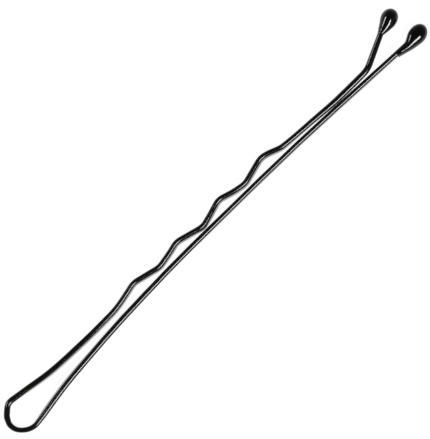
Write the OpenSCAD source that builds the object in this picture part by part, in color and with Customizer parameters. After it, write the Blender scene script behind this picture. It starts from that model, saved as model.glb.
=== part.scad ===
// A bobby pin of flattened spring wire: a round bow, a straight leg, a wavy leg and a bead on each tip.
// It lies flat with its bow towards -X, its tips towards +X and its wavy leg on the +Y side.
// The origin is at the middle of its outline, at the height of the table that the beads rest on.

/* [Strip] */
// Thickness of the flattened wire, lacquer included
strip_t = 0.55; // [0.45:0.05:0.65]
// Width of the flattened wire, rounded edges included
strip_w = 1.4; // [1.2:0.1:1.7]

/* [Bow] */
// Radius of the bow at the middle of the wire
bow_r = 1.8; // [1.6:0.1:2.1]
// Distance along the pin from the bow's centre to the two flex lines
flex_reach = 9; // [8.5:0.5:10.5]
// Clearance round the rounded root of a leg, where it turns in the bow
flex_gap = 0.02; // [0.01:0.01:0.04]

/* [Straight leg] */
// Angle at which the straight leg leaves the bow, towards the wavy leg
straight_lean_angle = 9.45; // [8:0.05:10]
// Length of the leaning stretch, from the bow to its first bend
straight_lean_l = 5.4; // [5:0.1:6]
// Angle that the straight leg still has after its first bend
straight_ease_angle = 4.95; // [4.5:0.05:5.4]
// Length of the easing stretch
straight_ease_l = 12.1; // [11.5:0.1:13]
// Length of the level stretch in the middle of the pin
straight_level_l = 22.2; // [20:0.2:26]
// Angle at which the last stretch turns away from the wavy leg
straight_tip_angle = 2.07; // [1.5:0.01:3]
// Length of the last stretch, to the end of the wire in its bead
straight_tip_l = 17.2; // [16.4:0.2:20]

/* [Wavy leg] */
// Angle at which the wavy leg leaves the bow, towards the straight leg
wavy_lean_angle = 9.2; // [8.8:0.1:9.8]
// Length of the leaning stretch, from the bow to the plain stretch
wavy_lean_l = 5.4; // [5:0.1:5.6]
// Number of waves
wave_n = 4; // [3:1:4]
// Distance from one wave's crest to the next
wave_pitch = 6.18; // [5.6:0.01:6.4]
// Slope of a wave's flanks
wave_angle = 14.4; // [12:0.2:18]
// Radius of the bend at a crest or a trough, at the middle of the wire
wave_r = 2; // [1.2:0.05:2.4]
// Gap between the troughs and the straight leg
trough_gap = 0.22; // [0.15:0.01:0.4]
// Slope at which the wavy leg comes down onto the straight leg after the last wave
press_angle = 6.1; // [5:0.1:7]
// Length of the stretch between the last wave and the grip
press_l = 6.1; // [5.6:0.1:6.6]
// Distance from the straight leg's last bend to the place where the legs meet
grip_place = 4.7; // [4.2:0.1:5.4]
// Gap between the legs where they meet
grip_gap = 0.02; // [0.01:0.01:0.05]
// Slope at which the wavy leg leaves the grip again
grip_exit_angle = 1.95; // [1:0.05:3]
// Length from the middle of the grip's curve to the bend of the flare
grip_exit_l = 5.9; // [5:0.1:7]
// Slope of the flared tip
flare_angle = 25.6; // [20:0.2:30]
// Length of the flare, to the end of the wire in its bead
flare_l = 6; // [5:0.1:7]

/* [Beads] */
// Plastic over each edge of the wire at the bead's widest place
bead_wall = 0.2; // [0.15:0.01:0.3]
// Film of plastic round the wire where a bead's neck begins
bead_film = 0.04; // [0.03:0.01:0.06]
// Length of the straight leg's bead from its neck to the end of the wire
straight_neck_l = 2.5; // [1.8:0.1:3]
// Distance that the straight leg's bead hangs off the wire, towards the wavy leg
straight_bead_off = 0.04; // [0:0.01:0.1]
// Length of the wavy leg's bead from its neck to the end of the wire
wavy_neck_l = 2; // [1.6:0.1:2.6]
// Distance that the wavy leg's bead hangs off the wire, towards the straight leg
wavy_bead_off = 0.29; // [0:0.01:0.3]

/* [Hidden] */

$fa = 1;
$fs = 0.05;

// Radii of the long bends between the stretches, at the middle of the wire
straight_ease_r = 50;
straight_level_r = 150;
straight_tip_r = 300;
plain_r = 30;
wave_start_r = 8;
press_r = 3.5;
grip_r = 60;
flare_r = 3.2;

// How much thinner the press leaves the wire on each side of a bend
bend_thin = 0.004;
// How far the ends of a bend lap into the straight stretches beside it
bend_lap = 0.03;

// Facets round a bead, whose outermost flats lie at its radius
ball_facets = 32;

lacquer = "#1a1817";
plastic = "#0f0e0e";

// Points are [x, y] at the middle of the wire, counted from the bow's centre, and angles are from +X.
function step(p, a, l) = p + l * [cos(a), sin(a)];
function left_of(a) = [-sin(a), cos(a)];
function heading(p, q) = atan2(q[1] - p[1], q[0] - p[0]);
function at_x(p, q, x) = p + (q - p) * (x - p[0]) / (q[0] - p[0]);

// Straight leg, from the bow to the end of the wire
straight_root = bow_r * -left_of(straight_lean_angle);
straight_c1 = step(straight_root, straight_lean_angle, straight_lean_l);
straight_c2 = step(straight_c1, straight_ease_angle, straight_ease_l);
straight_c3 = step(straight_c2, 0, straight_level_l);
straight_end = step(straight_c3, -straight_tip_angle, straight_tip_l);

// Wavy leg from the grip to the tip: its curve touches a line just above the straight leg's last stretch
legs_apart = strip_t + grip_gap;
grip_point = step(straight_c3, -straight_tip_angle, grip_place) + legs_apart * left_of(-straight_tip_angle);
grip_centre = grip_point + grip_r * left_of(-straight_tip_angle);
grip_half = (press_angle + grip_exit_angle) / 2;
grip_corner = grip_centre - grip_r / cos(grip_half) * left_of(grip_exit_angle - grip_half);
flare_corner = step(grip_corner, grip_exit_angle, grip_exit_l);
wavy_end = step(flare_corner, flare_angle, flare_l);

// Wavy leg from the bow to the grip: the waves are counted back from the grip, and the plain stretch
// takes up the rest
wave_rise = wave_r * (1 / cos(wave_angle) - 1);
trough_y = straight_c2[1] + strip_t + trough_gap - wave_rise;
crest_y = trough_y + wave_pitch / 2 * tan(wave_angle);
press_corner = step(grip_corner, -press_angle, -press_l);
last_crest_x = press_corner[0] - (crest_y - press_corner[1]) / tan(wave_angle);
wave_start_x = last_crest_x - (wave_n - 0.5) * wave_pitch;
waves = [for (i = [0 : 2 * wave_n - 1])
    [wave_start_x + i * wave_pitch / 2, i % 2 == 0 ? trough_y : crest_y]];
wavy_root = bow_r * left_of(-wavy_lean_angle);
wavy_c1 = step(wavy_root, -wavy_lean_angle, wavy_lean_l);

// Flex lines, where the legs turn against the bow
straight_flex = at_x(straight_c1, straight_c2, flex_reach);
wavy_flex = at_x(wavy_c1, waves[0], flex_reach);

// The wavy leg's corners from its flex line on, and the radii of the bends between its two ends
wavy_points = concat([wavy_flex], waves, [press_corner, grip_corner, flare_corner, wavy_end]);
wave_radii = [for (i = [1 : 2 * wave_n - 1]) wave_r];
wavy_radii = concat([wave_start_r], wave_radii, [press_r, grip_r, flare_r]);

// Beads
bead_r = strip_w / 2 + bead_wall;
straight_ball = straight_end + straight_bead_off * left_of(-straight_tip_angle);
wavy_ball = wavy_end - wavy_bead_off * left_of(flare_angle);

// Outline of the whole pin
bow_out = bow_r + strip_t / 2;
pin_right = max(straight_ball[0], wavy_ball[0]) + bead_r;
pin_low = min(-bow_out, straight_ball[1] - bead_r);
pin_high = max(bow_out, wavy_ball[1] + bead_r);

// Moves what is counted from the bow's centre to the pin's own frame
module on_table() {
    translate([(bow_out - pin_right) / 2, -(pin_low + pin_high) / 2, bead_r])
        children();
}

// The wire's section, thickness along X and width along Y, with round edges
module section(extra = 0) {
    flat_w = strip_w - strip_t;
    square([strip_t + 2 * extra, flat_w], center = true);
    for (side = [-1, 1])
        translate([0, side * flat_w / 2])
            circle(d = strip_t + 2 * extra);
}

// A straight stretch of wire from p, heading a, of length l
module run(p, a, l, extra = 0) {
    translate([p[0], p[1], 0])
        rotate([0, 0, a])
            rotate([90, 0, 90])
                linear_extrude(l)
                    section(extra);
}

// A bend of wire round centre c, from angle a, turning left by turn
module bend(c, r, a, turn) {
    lap = bend_lap / r * 180 / PI;
    translate([c[0], c[1], 0])
        rotate([0, 0, a - lap])
            rotate_extrude(angle = turn + 2 * lap)
                translate([r, 0])
                    section(-bend_thin);
}

// A bend of radius r at the corner q, between the stretches that come from p and go on to s
module corner_bend(p, q, s, r) {
    from = heading(p, q);
    turn = heading(q, s) - from;
    side = sign(turn);
    centre = step(q, from, -r * tan(abs(turn) / 2)) + side * r * left_of(from);
    start = turn > 0 ? from - 90 : from + 90 + turn;
    bend(centre, r, start, abs(turn));
}

// Angle that the wire turns through at the corner points[i]
function turn_at(points, i) =
    heading(points[i], points[i + 1]) - heading(points[i - 1], points[i]);

// How far that corner's bend reaches back along the stretches on its two sides
function reach(points, radii, i) =
    i == 0 || i == len(points) - 1 ? 0 : radii[i - 1] * tan(abs(turn_at(points, i)) / 2);

// Wire along the corners in points, with a bend of radii[i - 1] at the corner points[i]
module wire(points, radii) {
    last = len(points) - 1;
    for (i = [0 : last - 1]) {
        a = heading(points[i], points[i + 1]);
        from = reach(points, radii, i);
        to = reach(points, radii, i + 1);
        run(step(points[i], a, from), a, norm(points[i + 1] - points[i]) - from - to);
    }
    for (i = [1 : 1 : last - 1])
        corner_bend(points[i - 1], points[i], points[i + 1], radii[i - 1]);
}

// The rounded root of a leg at the flex line p: the wire's section, turned about the line
module flex_root(p) {
    translate([p[0], p[1], 0])
        rotate_extrude()
            intersection() {
                section(-bend_thin);
                translate([0, -strip_w])
                    square([strip_w, 2 * strip_w]);
            }
}

// The hollow for that root at the end of the bow's wire
module flex_socket(p) {
    translate([p[0], p[1], -strip_w])
        cylinder(r = strip_t / 2 + flex_gap, h = 2 * strip_w);
}

// The bow and the first stretch of both legs, hollowed for the legs' rounded roots
module bow() {
    color(lacquer)
        on_table()
            difference() {
                union() {
                    bend([0, 0], bow_r, 90 - wavy_lean_angle, 180 + wavy_lean_angle + straight_lean_angle);
                    wire([straight_root, straight_c1, straight_flex], [straight_ease_r]);
                    wire([wavy_root, wavy_c1, wavy_flex], [plain_r]);
                }
                flex_socket(straight_flex);
                flex_socket(wavy_flex);
            }
}

// The straight leg, from its root at the flex line to the end of the wire
module straight_leg() {
    color(lacquer)
        on_table() {
            flex_root(straight_flex);
            wire(
                [straight_flex, straight_c2, straight_c3, straight_end],
                [straight_level_r, straight_tip_r]
            );
        }
}

// The wavy leg, from its root at the flex line over the waves and the grip to the end of the flare
module wavy_leg() {
    color(lacquer)
        on_table() {
            flex_root(wavy_flex);
            wire(wavy_points, wavy_radii);
        }
}

// A pear-shaped bead on the last neck_l of the wire that ends at end, heading a, with its ball round ball
module bead(end, a, neck_l, ball) {
    neck = step(end, a, -neck_l);
    difference() {
        hull($fn = ball_facets) {
            run(neck, a, bead_film, bead_film);
            translate([ball[0], ball[1], 0])
                sphere(r = bead_r / cos(180 / ball_facets));
        }
        run(step(neck, a, -bead_r), a, neck_l + bead_r);
    }
}

module straight_leg_bead() {
    color(plastic)
        on_table()
            bead(straight_end, -straight_tip_angle, straight_neck_l, straight_ball);
}

module wavy_leg_bead() {
    color(plastic)
        on_table()
            bead(wavy_end, flare_angle, wavy_neck_l, wavy_ball);
}

bow();
straight_leg();
wavy_leg();
straight_leg_bead();
wavy_leg_bead();
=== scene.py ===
# A bobby pin of flattened spring wire under gloss black lacquer, with a dipped bead on each tip.
# Lengths are millimetres in the pin's own frame, angles are degrees, and MM takes lengths to metres.
import math

import bmesh
import bpy
from mathutils import Matrix, Vector, noise


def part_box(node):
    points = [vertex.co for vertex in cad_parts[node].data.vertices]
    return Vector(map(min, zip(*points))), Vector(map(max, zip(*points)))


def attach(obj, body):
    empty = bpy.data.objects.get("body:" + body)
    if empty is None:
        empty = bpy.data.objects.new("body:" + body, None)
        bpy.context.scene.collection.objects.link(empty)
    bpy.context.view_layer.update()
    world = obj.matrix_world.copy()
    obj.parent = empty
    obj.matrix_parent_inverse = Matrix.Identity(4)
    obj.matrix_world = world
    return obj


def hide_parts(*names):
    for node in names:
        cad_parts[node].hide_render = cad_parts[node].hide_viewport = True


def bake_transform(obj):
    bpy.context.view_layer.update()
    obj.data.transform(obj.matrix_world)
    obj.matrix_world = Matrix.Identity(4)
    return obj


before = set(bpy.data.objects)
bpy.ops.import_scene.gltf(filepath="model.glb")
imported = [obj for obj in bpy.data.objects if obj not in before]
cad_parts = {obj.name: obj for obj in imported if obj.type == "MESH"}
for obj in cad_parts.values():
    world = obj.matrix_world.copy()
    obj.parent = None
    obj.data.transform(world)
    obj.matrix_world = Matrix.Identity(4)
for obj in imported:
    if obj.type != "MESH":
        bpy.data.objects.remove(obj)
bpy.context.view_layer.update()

MM = 0.001


def box_mm(node):
    """The lowest and highest corner of a CAD node, in millimetres."""
    low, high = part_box(node)
    return low / MM, high / MM


# The bow's box gives the width of the wire and the height of its middle above the table
bow_low, bow_high = box_mm("bow")
strip_w = bow_high.z - bow_low.z
mid_z = (bow_low.z + bow_high.z) / 2

# The sizes from here to flare_r are the same as in the part's source. strip_t is the wire's thickness with
# its lacquer, and bend_thin is how much thinner the part's wire is on each side of a bend.
strip_t = 0.55
bow_r = 1.8
bend_thin = 0.004
bow_centre = Vector((bow_low.x, bow_low.y)) + Vector((1, 1)) * (bow_r + strip_t / 2 - bend_thin)

# Straight leg, from the bow on: the angle and length of each stretch, and the radius of each bend
straight_lean_angle, straight_lean_l = 9.45, 5.4
straight_ease_angle, straight_ease_l = 4.95, 12.1
straight_level_l = 22.2
straight_tip_angle, straight_tip_l = 2.07, 17.2
straight_ease_r, straight_level_r, straight_tip_r = 50, 150, 300

# Wavy leg, from the bow on: waves, the press towards the straight leg, the grip, and the flare at its tip
wavy_lean_angle, wavy_lean_l = 9.2, 5.4
wave_n, wave_pitch, wave_angle, wave_r = 4, 6.18, 14.4, 2
trough_gap = 0.22
press_angle, press_l = 6.1, 6.1
grip_place, grip_gap, grip_exit_angle, grip_exit_l = 4.7, 0.02, 1.95, 5.9
flare_angle, flare_l = 25.6, 6
plain_r, wave_start_r, press_r, grip_r, flare_r = 30, 8, 3.5, 60, 3.2

# The squareness at which a section's curve is a circle
circle = 2

# What the press and the hand left in each half of the wire, as (distance along the wire from the middle
# of the bow, value). roll turns the wire about its own length, with its left side up, stray is how far it
# lies to the left of its ideal line, and lift is how far above it: the bow hangs just clear of the table.
# square is how square its edges are, as round_point takes it, and coat is how much thicker its lacquer is
# than usual.
straight_half = {
    "roll": ((0, 0), (2.2, 0), (4.5, 8), (9, 8), (16, 4), (25, -1), (32, -4), (38, -5.5), (62, -5.5)),
    "stray": (
        (0, 0.01), (0.6, -0.01), (1.6, 0.045), (3.4, -0.04), (6.5, -0.01), (14, -0.01), (22, -0.06),
        (28, -0.02), (45, -0.01), (62, 0),
    ),
    "lift": ((0, -0.14), (4, -0.14), (30, 0), (62, 0)),
    "square": ((0, 2.1), (62, 2)),
    "coat": ((0, 0.025), (1.2, 0), (2.8, 0.01), (5, 0.035), (20, 0.04), (27, 0.025), (36, 0), (62, 0)),
}
wavy_half = {
    "roll": ((0, 0), (3, 0), (5.5, -7), (10, -9), (40, -10), (46, -4), (51, -2), (55, 1), (62, 1)),
    "stray": (
        (0, -0.01), (0.7, -0.12), (1.5, -0.185), (2.7, -0.04), (7.5, -0.03), (10, 0), (13.5, -0.03),
        (17.5, 0.05), (20.3, -0.02), (23.5, 0.04), (26, -0.08), (31, -0.08), (33.3, 0.01), (35, -0.03),
        (36.4, 0.05), (40.3, 0.09), (42, -0.04), (46.4, 0.1), (50, 0.04), (55, 0), (62, 0),
    ),
    "lift": ((0, -0.14), (4, -0.14), (18, 0.18), (48, 0), (62, 0)),
    "square": ((0, 2.1), (5, 2.5), (10, 3), (14, 3), (18, 2.2), (62, 2.3)),
    "coat": (
        (0, 0.025), (0.8, 0.055), (2.8, 0.055), (5, 0.03), (10, 0.005), (44, 0.005), (51, 0.06), (55, 0.06),
        (58, 0.04), (62, 0.04),
    ),
}

# Ripples in the lacquer: their depth, how many there are to a millimetre, and which slice of noise they are
ripple_depth = 0.003
ripple_per_mm = 0.9
ripple_slice = 3.1

# How finely the skins follow the wire: the longest step, the widest turn in a step, and how many points each
# round edge and each flat side of a section has
run_step = 0.3
turn_step = 1.5
edge_points = 21
side_points = 3


def direction(angle):
    return Vector((math.cos(math.radians(angle)), math.sin(math.radians(angle))))


def left_of(angle):
    return direction(angle + 90)


def heading(start, end):
    return math.degrees(math.atan2(end.y - start.y, end.x - start.x))


def straight_corners():
    """Root, bends and end of the straight leg, as the part's source works them out."""
    root = bow_centre - bow_r * left_of(straight_lean_angle)
    ease = root + straight_lean_l * direction(straight_lean_angle)
    level = ease + straight_ease_l * direction(straight_ease_angle)
    tip = level + straight_level_l * direction(0)
    return [root, ease, level, tip, tip + straight_tip_l * direction(-straight_tip_angle)]


def wavy_corners(straight):
    """Root, bends and end of the wavy leg: it is laid out back from where it grips the straight leg."""
    level, tip = straight[2], straight[3]
    legs_apart = strip_t + grip_gap
    grip_point = tip + grip_place * direction(-straight_tip_angle)
    grip_centre = grip_point + (legs_apart + grip_r) * left_of(-straight_tip_angle)
    grip_half = (press_angle + grip_exit_angle) / 2
    grip_reach = grip_r / math.cos(math.radians(grip_half))
    grip = grip_centre - grip_reach * left_of(grip_exit_angle - grip_half)
    flare = grip + grip_exit_l * direction(grip_exit_angle)
    end = flare + flare_l * direction(flare_angle)

    slope = math.tan(math.radians(wave_angle))
    rise = wave_r * (1 / math.cos(math.radians(wave_angle)) - 1)
    trough_y = level.y + strip_t + trough_gap - rise
    crest_y = trough_y + wave_pitch / 2 * slope
    press = grip - press_l * direction(-press_angle)
    start_x = press.x - (crest_y - press.y) / slope - (wave_n - 0.5) * wave_pitch
    waves = [
        Vector((start_x + i * wave_pitch / 2, crest_y if i % 2 else trough_y))
        for i in range(2 * wave_n)
    ]
    root = bow_centre + bow_r * left_of(-wavy_lean_angle)
    lean = root + wavy_lean_l * direction(-wavy_lean_angle)
    return [root, lean, *waves, press, grip, flare, end]


def arc(centre, radius, first, turn):
    """Points and headings along an arc from the angle first, turning left if turn is positive."""
    steps = max(2, math.ceil(abs(turn) / turn_step))
    side = math.copysign(1, turn)
    angles = [first + turn * i / steps for i in range(steps + 1)]
    return [(centre + radius * direction(a), a + 90 * side) for a in angles]


def bend(before, corner, after, radius):
    """The arc that rounds a corner between the points before and after it."""
    start = heading(before, corner)
    turn = heading(corner, after) - start
    side = math.copysign(1, turn)
    reach = radius * math.tan(math.radians(abs(turn)) / 2)
    centre = corner - reach * direction(start) + side * radius * left_of(start)
    return arc(centre, radius, start - 90 * side, turn)


def fill_runs(places):
    """Adds points to the straight stretches between places, so that none is longer than run_step."""
    filled = [places[0]]
    for (point, angle), (next_point, next_angle) in zip(places, places[1:]):
        steps = math.ceil((next_point - point).length / run_step)
        for i in range(1, steps):
            filled.append((point.lerp(next_point, i / steps), angle + (next_angle - angle) * i / steps))
        filled.append((next_point, next_angle))
    return filled


def wire_line(corners, radii, bow_arc):
    """Points and headings along the wire: half the bow, then the leg through its corners to its end."""
    places = list(bow_arc)
    for i, radius in enumerate(radii):
        places += bend(corners[i], corners[i + 1], corners[i + 2], radius)
    places.append((corners[-1], heading(corners[-2], corners[-1])))
    return fill_runs(places)


def smooth_step(x):
    """Goes smoothly from 0 to 1 as x does."""
    x = min(1, max(0, x))
    return x * x * (3 - 2 * x)


def round_point(a, squareness):
    """The point at angle a, in radians, of a unit circle that gets squarer as squareness grows over 2."""
    power = circle / squareness
    x, y = math.cos(a), math.sin(a)
    return math.copysign(abs(x) ** power, x), math.copysign(abs(y) ** power, y)


def strip_section(squareness, grow=0):
    """The wire's section as (across, up): two flat sides and two round edges, from the middle of a side."""
    r = strip_t / 2 + grow
    flat = (strip_w - strip_t) / 2
    steps = side_points // 2 + 1
    points = []
    for side in (1, -1):
        points += [(side * r, side * flat * i / steps) for i in range(steps)]
        for i in range(edge_points):
            x, y = round_point(math.pi * i / (edge_points - 1), squareness)
            points.append((side * r * x, side * (flat + r * y)))
        points += [(-side * r, side * flat * i / steps) for i in range(steps - 1, 0, -1)]
    return points


def along_wire(table, distance):
    """The value that a table of (distance, value) gives at a distance, changing smoothly between rows."""
    for (start, first), (end, second) in zip(table, table[1:]):
        if distance <= end:
            return first + (second - first) * smooth_step((distance - start) / (end - start))
    return table[-1][1]


def place_ring(bm, point, angle, section, roll=0, lift=0):
    """A ring of vertices with that section at point, square to the heading angle, rolled and lifted."""
    across = left_of(angle)
    turn = Matrix.Rotation(math.radians(roll), 2)
    ring = []
    for part in section:
        u, v = turn @ Vector(part)
        ring.append(bm.verts.new(Vector((*(point + u * across), mid_z + lift + v)) * MM))
    return ring


def bridge(bm, first, second):
    """Quads between two rings."""
    for i in range(len(first)):
        j = (i + 1) % len(first)
        bm.faces.new((first[i], first[j], second[j], second[i]))


def cap(bm, ring):
    """Closes a ring with one face whose rim stays sharp."""
    face = bm.faces.new(ring)
    for edge in face.edges:
        edge.smooth = False


def finish_mesh(bm, name, material):
    """Makes a smooth-shaded object of the mesh, with its faces outwards."""
    bmesh.ops.recalc_face_normals(bm, faces=bm.faces)
    for face in bm.faces:
        face.smooth = True
    mesh = bpy.data.meshes.new(name)
    bm.to_mesh(mesh)
    bm.free()
    mesh.materials.append(material)
    skin = bpy.data.objects.new(name, mesh)
    bpy.context.scene.collection.objects.link(skin)
    return skin


def coat_ripple(point):
    """How much thicker or thinner the lacquer ran at a place than the coat around it."""
    return ripple_depth * noise.noise(Vector((*(point * ripple_per_mm), ripple_slice)))


def wire_skin(name, line, half, material):
    """The lacquered wire along line, closed at both ends."""
    bm = bmesh.new()
    rings = []
    distance = 0
    last = line[0][0]
    for point, angle in line:
        distance += (point - last).length
        last = point
        roll, stray, lift, square, coat = (
            along_wire(half[key], distance) for key in ("roll", "stray", "lift", "square", "coat")
        )
        section = strip_section(square, coat + coat_ripple(point))
        rings.append(place_ring(bm, point + stray * left_of(angle), angle, section, roll, lift))
    for first, second in zip(rings, rings[1:]):
        bridge(bm, first, second)
    cap(bm, rings[0])
    cap(bm, rings[-1])
    return finish_mesh(bm, name, material)


def soft_max(a, b, soft):
    """The larger of a and b, with a round change from one to the other."""
    return (a + b + math.sqrt((a - b) ** 2 + soft**2)) / 2


# Beads: each is a drop round the wire's end, with a tail that runs back along the wire to its neck. A
# station is a place along the bead, counted from the drop's middle towards its end.
#   front_l, back_l, half_w: how far the drop reaches to its end, to its tail and to its sides
#   behind, neck_l: how far its middle and its neck lie behind the wire's end
#   off, skew: how far it hangs to the left of the wire, and how that grows towards its end
#   left, right, rise: the slopes of the tail on its two sides and on its top
#   swell, swell_at, swell_l: how much its right side swells, at which station and how far around
#   shoulders, shoulder_at, shoulder_l: how much squarer its left and its right side get, from which
#       station on and over what length
#   nose: how square its end is from the side
#   top_fillet: how softly its top runs out along the wire
straight_drop = {
    "front_l": 1.2, "back_l": 1.4, "half_w": 0.95, "behind": 0.285, "neck_l": 3.3, "off": 0.06,
    "skew": 0.08, "left": 0.63, "right": 0.18, "rise": 0.04, "swell": 0.06, "swell_at": -1.4, "swell_l": 1.2,
    "shoulders": (0.8, 0.25), "shoulder_at": -1.45, "shoulder_l": 1.4, "nose": 2.3, "top_fillet": 0.09,
}
wavy_drop = {
    "front_l": 1.05, "back_l": 1.3, "half_w": 0.9, "behind": 0.17, "neck_l": 2.0, "off": -0.29,
    "skew": -0.04, "left": 0.22, "right": 0.57, "rise": 0.1, "swell": 0.02, "swell_at": -1, "swell_l": 1,
    "shoulders": (0.4, 0.4), "shoulder_at": 0.25, "shoulder_l": 0.7, "nose": 2.2, "top_fillet": 0.04,
}

# Both beads: how thick the film of plastic is near the neck, over what length its lip is round, how softly
# the sides run out along the wire, over what length from the neck that sets in, how square the tail is, and
# how much tighter the hollow is than the wire, so that the ripples in the lacquer leave no gap
film = 0.05
lip_l = 0.12
side_fillet = 0.16
neck_fade = 0.6
tail_squareness = 2.5
hollow_lap = 0.004

# How finely a bead's skin follows it: the longest step along its tail, where the rings on its lip lie as
# shares of lip_l, and for its round end the degrees from one ring to the next and where the last one is
tail_step = 0.05
lip_shares = (0.08, 0.3, 0.6)
nose_step = 4
nose_stop = 88


def neck_station(drop):
    """Where the neck of a bead lies."""
    return drop["behind"] - drop["neck_l"]


def bead_stations(drop):
    """Stations from a bead's neck to just short of its end."""
    neck = neck_station(drop)
    steps = math.ceil(-neck / tail_step)
    tail = [neck - neck * i / steps for i in range(steps)]
    lip = [neck + lip_l * share for share in lip_shares]
    nose = [drop["front_l"] * math.sin(math.radians(a)) for a in range(0, nose_stop + 1, nose_step)]
    return sorted(tail + lip + nose)


def drop_side(station, drop, half_w, slope, off=0, skew=0):
    """How far a drop reaches to one side: an ellipse that is longer at the back and that off and skew move
    to that side, with a straight tail that comes away from it at slope."""
    half_l = drop["front_l"] if station > 0 else drop["back_l"]
    phi = math.atan((slope - skew) * half_l / half_w)
    at = max(station, -half_l * math.sin(phi))
    ellipse = half_w * math.sqrt(max(0, 1 - (at / half_l) ** 2))
    return ellipse + off + skew * at + (station - at) * slope


def swell(station, drop):
    """How much the right side of a tail swells over its straight slope."""
    return drop["swell"] * smooth_step(1 - abs(station - drop["swell_at"]) / drop["swell_l"])


def lip_height(from_neck):
    """How far a bead's film stands off the wire at a distance from the neck, where it has a round lip."""
    return film * math.sqrt(max(0, 1 - (1 - min(1, from_neck / lip_l)) ** 2))


def bead_reach(station, drop, half_h, coat, tail):
    """How far a bead reaches to its left, to its right and up. tail goes from 1 at the neck to 0 at the
    middle of the drop."""
    left = drop_side(station, drop, drop["half_w"], drop["left"], drop["off"], drop["skew"])
    right = drop_side(station, drop, drop["half_w"], drop["right"], -drop["off"], -drop["skew"])
    right += swell(station, drop)
    if station >= 0:
        nose = drop["nose"]
        return left, right, half_h * (1 - (station / drop["front_l"]) ** nose) ** (1 / nose)
    high = drop_side(station, drop, half_h, drop["rise"])
    from_neck = station - neck_station(drop)
    lip = lip_height(from_neck)
    fade = tail * smooth_step(from_neck / neck_fade)
    left = soft_max(left, strip_t / 2 + coat + lip, fade * side_fillet)
    right = soft_max(right, strip_t / 2 + coat + lip, fade * side_fillet)
    high = soft_max(high, strip_w / 2 + coat + lip, fade * drop["top_fillet"])
    return left, right, high


def bead_ring(bm, end, angle, half, station, drop, half_h):
    """A ring of the bead, with as many points as a ring of the wire has."""
    neck = neck_station(drop)
    tail = 1 - smooth_step((station - neck) / -neck)
    left, right, high = bead_reach(station, drop, half_h, half["coat"][-1][1], tail)
    squareness = circle + (tail_squareness - circle) * tail
    shoulder = smooth_step((station - drop["shoulder_at"]) / drop["shoulder_l"])
    left_squareness, right_squareness = (squareness + shoulder * side for side in drop["shoulders"])
    section = []
    count = 2 * (edge_points + side_points)
    for i in range(count):
        a = 2 * math.pi * i / count
        u, v = round_point(a, left_squareness if math.cos(a) > 0 else right_squareness)
        section.append(((left + right) / 2 * u, high * v))
    middle = end + (station - drop["behind"]) * direction(angle) + (left - right) / 2 * left_of(angle)
    return place_ring(bm, middle, angle, section, half["roll"][-1][1] * tail)


def bead_skin(name, end, angle, half, drop, half_h, material):
    """A bead with the hollow that the wire's end fills."""
    bm = bmesh.new()
    stations = bead_stations(drop)
    outer = [bead_ring(bm, end, angle, half, station, drop, half_h) for station in stations]
    for first, second in zip(outer, outer[1:]):
        bridge(bm, first, second)
    tip_shift = drop["off"] + drop["skew"] * drop["front_l"]
    tip = end + (drop["front_l"] - drop["behind"]) * direction(angle) + tip_shift * left_of(angle)
    pole = bm.verts.new((tip.x * MM, tip.y * MM, mid_z * MM))
    last = outer[-1]
    for i in range(len(last)):
        bm.faces.new((last[i], last[(i + 1) % len(last)], pole))
    roll, square, coat = (half[key][-1][1] for key in ("roll", "square", "coat"))
    section = strip_section(square, coat - hollow_lap)
    mouth = place_ring(bm, end - drop["neck_l"] * direction(angle), angle, section, roll)
    inner = place_ring(bm, end, angle, section, roll)
    bridge(bm, mouth, outer[0])
    bridge(bm, inner, mouth)
    cap(bm, inner)
    return finish_mesh(bm, name, material)


def material_nodes(name):
    """A new material's node tree, its Principled shader and its object coordinates in millimetres."""
    material = bpy.data.materials.new(name)
    material.use_nodes = True
    tree = material.node_tree
    shader = tree.nodes["Principled BSDF"]
    coordinates = tree.nodes.new("ShaderNodeTexCoord")
    scale = tree.nodes.new("ShaderNodeVectorMath")
    scale.operation = "SCALE"
    scale.inputs["Scale"].default_value = 1 / MM
    tree.links.new(coordinates.outputs["Object"], scale.inputs[0])
    return material, tree, shader, scale.outputs[0]


def noise_value(tree, place, per_mm, detail, roughness=0.5):
    """A noise texture's value, with per_mm lumps to the millimetre."""
    texture = tree.nodes.new("ShaderNodeTexNoise")
    texture.inputs["Scale"].default_value = per_mm
    texture.inputs["Detail"].default_value = detail
    texture.inputs["Roughness"].default_value = roughness
    tree.links.new(place, texture.inputs["Vector"])
    return texture.outputs["Fac"]


def map_value(tree, value, source, target):
    """A value taken from the range source to the range target."""
    node = tree.nodes.new("ShaderNodeMapRange")
    for name, limit in zip(("From Min", "From Max", "To Min", "To Max"), (*source, *target)):
        node.inputs[name].default_value = limit
    tree.links.new(value, node.inputs["Value"])
    return node.outputs["Result"]


def mix_colours(tree, share, first, second):
    """Two colours mixed by a value."""
    node = tree.nodes.new("ShaderNodeMix")
    node.data_type = "RGBA"
    node.inputs["A"].default_value = (*first, 1)
    node.inputs["B"].default_value = (*second, 1)
    tree.links.new(share, node.inputs["Factor"])
    return node.outputs["Result"]


def add_bump(tree, shader, heights):
    """Bumps of (value, height in millimetres), one on top of the other."""
    normal = None
    for value, height in heights:
        bump = tree.nodes.new("ShaderNodeBump")
        bump.inputs["Distance"].default_value = height * MM
        tree.links.new(value, bump.inputs["Height"])
        if normal is not None:
            tree.links.new(normal, bump.inputs["Normal"])
        normal = bump.outputs["Normal"]
    tree.links.new(normal, shader.inputs["Normal"])


# The range in which nearly all of a noise's values lie
noise_range = (0.3, 0.7)


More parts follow.
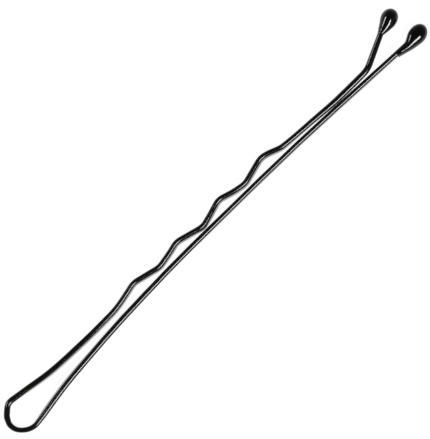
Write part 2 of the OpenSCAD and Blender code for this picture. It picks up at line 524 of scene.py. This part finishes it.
def gloss_black(name, tints, patches, roughness, wear, ior, bumps):
    """A gloss black. patches is the noise that its tint follows, wear the one that its roughness follows,
    and bumps are pairs of a noise and its height in millimetres."""
    material, tree, shader, place = material_nodes(name)
    tint = mix_colours(tree, noise_value(tree, place, **patches), *tints)
    tree.links.new(tint, shader.inputs["Base Color"])
    dullness = map_value(tree, noise_value(tree, place, **wear), noise_range, roughness)
    tree.links.new(dullness, shader.inputs["Roughness"])
    shader.inputs["IOR"].default_value = ior
    add_bump(tree, shader, [(noise_value(tree, place, **lumps), height) for lumps, height in bumps])
    return material


def lacquer():
    """Baked gloss black lacquer: warm black, a little orange peel, and duller where it was handled."""
    peel = {"per_mm": 1.6, "detail": 1}
    grain = {"per_mm": 22, "detail": 2}
    return gloss_black(
        "gloss_black_lacquer",
        tints=((0.003, 0.0027, 0.0025), (0.0075, 0.0068, 0.0062)),
        patches={"per_mm": 0.35, "detail": 3},
        roughness=(0.09, 0.16),
        wear={"per_mm": 1.6, "detail": 4, "roughness": 0.6},
        ior=1.5,
        bumps=((peel, 0.002), (grain, 0.0002)),
    )


def bead_plastic():
    """Dipped black plastic: glossier than the lacquer, with the slow ripple of a drop that set."""
    ripple = {"per_mm": 1.3, "detail": 1}
    dust = {"per_mm": 30, "detail": 2}
    return gloss_black(
        "gloss_black_plastic",
        tints=((0.0025, 0.0024, 0.0023), (0.006, 0.0056, 0.0052)),
        patches={"per_mm": 0.9, "detail": 2},
        roughness=(0.05, 0.12),
        wear={"per_mm": 3.5, "detail": 5, "roughness": 0.65},
        ior=1.46,
        bumps=((ripple, 0.002), (dust, 0.0002)),
    )


def add_wire(straight, wavy):
    """The wire through the corners of both legs, in two halves that meet at the middle of the bow."""
    straight_arc = arc(bow_centre, bow_r, -180, 90 + straight_lean_angle)
    wavy_arc = arc(bow_centre, bow_r, 180, -90 - wavy_lean_angle)
    straight_radii = [straight_ease_r, straight_level_r, straight_tip_r]
    wavy_radii = [plain_r, wave_start_r] + [wave_r] * (2 * wave_n - 1) + [press_r, grip_r, flare_r]
    straight_line = wire_line(straight, straight_radii, straight_arc)
    wavy_line = wire_line(wavy, wavy_radii, wavy_arc)

    finish = lacquer()
    halves = (
        ("wire_straight_half", straight_line, straight_half, "straight_leg"),
        ("wire_wavy_half", wavy_line, wavy_half, "wavy_leg"),
    )
    for name, line, half, leg in halves:
        skin = wire_skin(name, line, half, finish)
        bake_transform(skin)
        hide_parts("bow", leg)


def add_beads(straight, wavy):
    """The beads at the last corner of each leg, which move with their legs."""
    finish = bead_plastic()
    drops = (
        ("straight_tip_bead", straight, straight_half, straight_drop, "straight_leg"),
        ("wavy_tip_bead", wavy, wavy_half, wavy_drop, "wavy_leg"),
    )
    for name, corners, half, drop, leg in drops:
        low, high = box_mm(leg + "_bead")
        half_h = (high.z - low.z) / 2
        angle = heading(corners[-2], corners[-1])
        bead = bead_skin(name, corners[-1], angle, half, drop, half_h, finish)
        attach(bead, leg)
        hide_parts(leg + "_bead")


# Camera: it looks straight down on the pin, turned so that the pin runs up to the right, with the centre of
# the bow at bow_pixel.
photo_w, photo_h = 430, 439
mm_per_pixel = 0.1038
pin_angle = 44.19
bow_pixel = Vector((22.57, 413.11))
camera_lens = 800
camera_sensor = 36
camera_near = 10


def add_camera():
    right = direction(-pin_angle)
    up = left_of(-pin_angle)
    offset = Vector((photo_w / 2 - bow_pixel.x, bow_pixel.y - photo_h / 2)) * mm_per_pixel
    centre = bow_centre + offset.x * right + offset.y * up
    distance = photo_h * mm_per_pixel * camera_lens / camera_sensor
    data = bpy.data.cameras.new("camera")
    data.lens = camera_lens
    data.sensor_width = camera_sensor
    data.clip_start = camera_near * MM
    camera = bpy.data.objects.new("camera", data)
    axes = Matrix(((right.x, up.x, 0), (right.y, up.y, 0), (0, 0, 1))).to_4x4()
    spot = Vector((centre.x, centre.y, mid_z + distance)) * MM
    camera.matrix_world = Matrix.Translation(spot) @ axes
    bpy.context.scene.collection.objects.link(camera)
    bpy.context.scene.camera = camera


# Lamps: each is a soft box seen from the pin at an azimuth and a tilt from straight up, as wide and as
# high as the half angles say, and its level is how bright it looks where white is 1.
lamp_distance = 500
lamps = (
    {"name": "key_box", "azimuth": -86, "tilt": 32, "half_w": 6, "half_h": 10, "level": 24},
    {"name": "fill_box", "azimuth": 118.5, "tilt": 50, "half_w": 8, "half_h": 7, "level": 15},
)


def add_lamp(lamp):
    """A lamp that looks as bright as white gives pi watts for each square metre of its face."""
    tilt = math.radians(lamp["tilt"])
    flat = direction(lamp["azimuth"])
    towards = Vector((*(flat * math.sin(tilt)), math.cos(tilt)))
    data = bpy.data.lights.new(lamp["name"], "AREA")
    data.shape = "RECTANGLE"
    data.size = 2 * lamp_distance * MM * math.tan(math.radians(lamp["half_w"]))
    data.size_y = 2 * lamp_distance * MM * math.tan(math.radians(lamp["half_h"]))
    data.energy = lamp["level"] * math.pi * data.size * data.size_y
    light = bpy.data.objects.new(lamp["name"], data)
    light.location = towards * lamp_distance * MM
    light.rotation_mode = "QUATERNION"
    light.rotation_quaternion = towards.to_track_quat("Z", "Y")
    light.visible_camera = False
    bpy.context.scene.collection.objects.link(light)


def seen_directly(tree):
    """1 for rays from the camera, a reflection or through glass, and 0 for those that only carry light."""
    path = tree.nodes.new("ShaderNodeLightPath")
    total = path.outputs["Is Camera Ray"]
    for name in ("Is Glossy Ray", "Is Transmission Ray"):
        node = tree.nodes.new("ShaderNodeMath")
        node.operation = "MAXIMUM"
        tree.links.new(total, node.inputs[0])
        tree.links.new(path.outputs[name], node.inputs[1])
        total = node.outputs[0]
    return total


# Paper: its base shows the light and shadow that fall on it, and its glow is the white of its own
paper_half_w = 1000
paper_base = 0.12
paper_roughness = 0.9
paper_glow = 0.96


def add_floor():
    """White paper that keeps a faint shadow: part of its white is its own."""
    bm = bmesh.new()
    bmesh.ops.create_grid(bm, x_segments=1, y_segments=1, size=paper_half_w * MM)
    material = bpy.data.materials.new("white_paper")
    material.use_nodes = True
    tree = material.node_tree
    shader = tree.nodes["Principled BSDF"]
    shader.inputs["Base Color"].default_value = (paper_base, paper_base, paper_base, 1)
    shader.inputs["Roughness"].default_value = paper_roughness
    shader.inputs["Specular IOR Level"].default_value = 0
    shader.inputs["Emission Color"].default_value = (1, 1, 1, 1)
    glow = tree.nodes.new("ShaderNodeMath")
    glow.operation = "MULTIPLY"
    glow.inputs[1].default_value = paper_glow
    tree.links.new(seen_directly(tree), glow.inputs[0])
    tree.links.new(glow.outputs[0], shader.inputs["Emission Strength"])
    finish_mesh(bm, "paper", material)


# Room: how bright it is level with the pin and straight above it, and the height, where straight above is
# 1, from which on it is as dim as there
room_side = 0.3
room_top = 0.03
room_top_from = 0.9


def add_world():
    """White behind the pin, and a dim room that is darkest straight above."""
    world = bpy.data.worlds.new("studio")
    bpy.context.scene.world = world
    world.use_nodes = True
    tree = world.node_tree
    background = tree.nodes["Background"]
    coordinates = tree.nodes.new("ShaderNodeTexCoord")
    parts = tree.nodes.new("ShaderNodeSeparateXYZ")
    tree.links.new(coordinates.outputs["Generated"], parts.inputs[0])
    room = map_value(tree, parts.outputs["Z"], (0, room_top_from), (room_side, room_top))
    path = tree.nodes.new("ShaderNodeLightPath")
    level = tree.nodes.new("ShaderNodeMix")
    level.inputs["B"].default_value = 1
    tree.links.new(path.outputs["Is Camera Ray"], level.inputs["Factor"])
    tree.links.new(room, level.inputs["A"])
    tree.links.new(level.outputs["Result"], background.inputs["Strength"])
    background.inputs["Color"].default_value = (1, 1, 1, 1)


straight_leg = straight_corners()
wavy_leg = wavy_corners(straight_leg)
add_wire(straight_leg, wavy_leg)
add_beads(straight_leg, wavy_leg)
add_camera()
for each_lamp in lamps:
    add_lamp(each_lamp)
add_floor()
add_world()
bpy.context.scene.view_settings.view_transform = "Standard"
